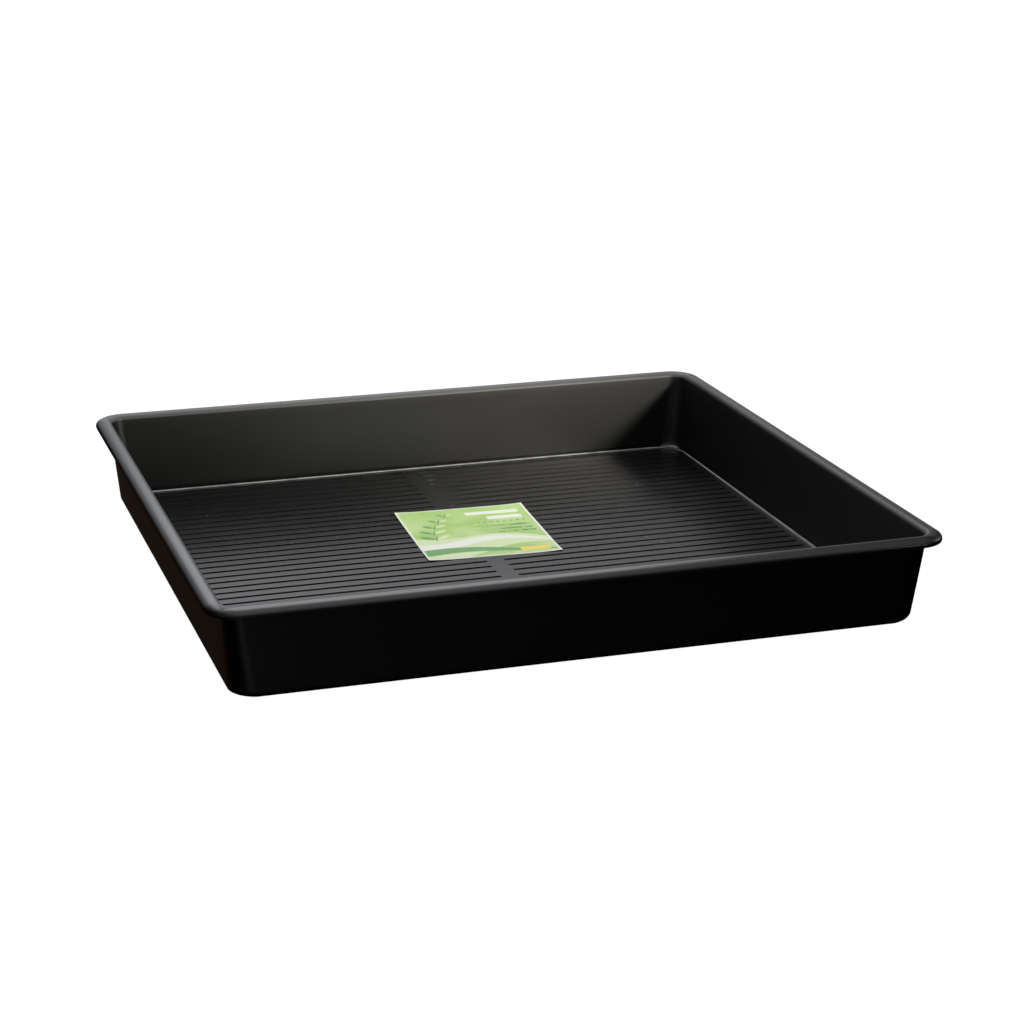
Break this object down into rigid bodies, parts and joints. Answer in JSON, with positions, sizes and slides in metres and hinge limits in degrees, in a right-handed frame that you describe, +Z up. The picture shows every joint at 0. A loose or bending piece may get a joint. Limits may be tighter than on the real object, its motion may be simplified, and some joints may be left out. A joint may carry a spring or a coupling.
{
  "type": "potting soil tray",
  "caption": "Large shallow black plastic tray with a grooved floor, leaning walls and a rolled rim, for holding potting soil or pots; a card label lies on its floor.",
  "frame": {"origin": "middle of the tray's footprint, on the ground it stands on", "axes": "+X along the front of the tray, its longer side; +Y from the front to the back; +Z up"},
  "size_m": [1, 0.933, 0.1302],
  "materials": {
    "tray_plastic": "satin black formed plastic sheet, softly reflective",
    "label_card": "coated card printed in light greens with a white border"
  },
  "bodies": {
    "root": {"tray": "tray_plastic", "label": "label_card"}
  },
  "joints": []
}
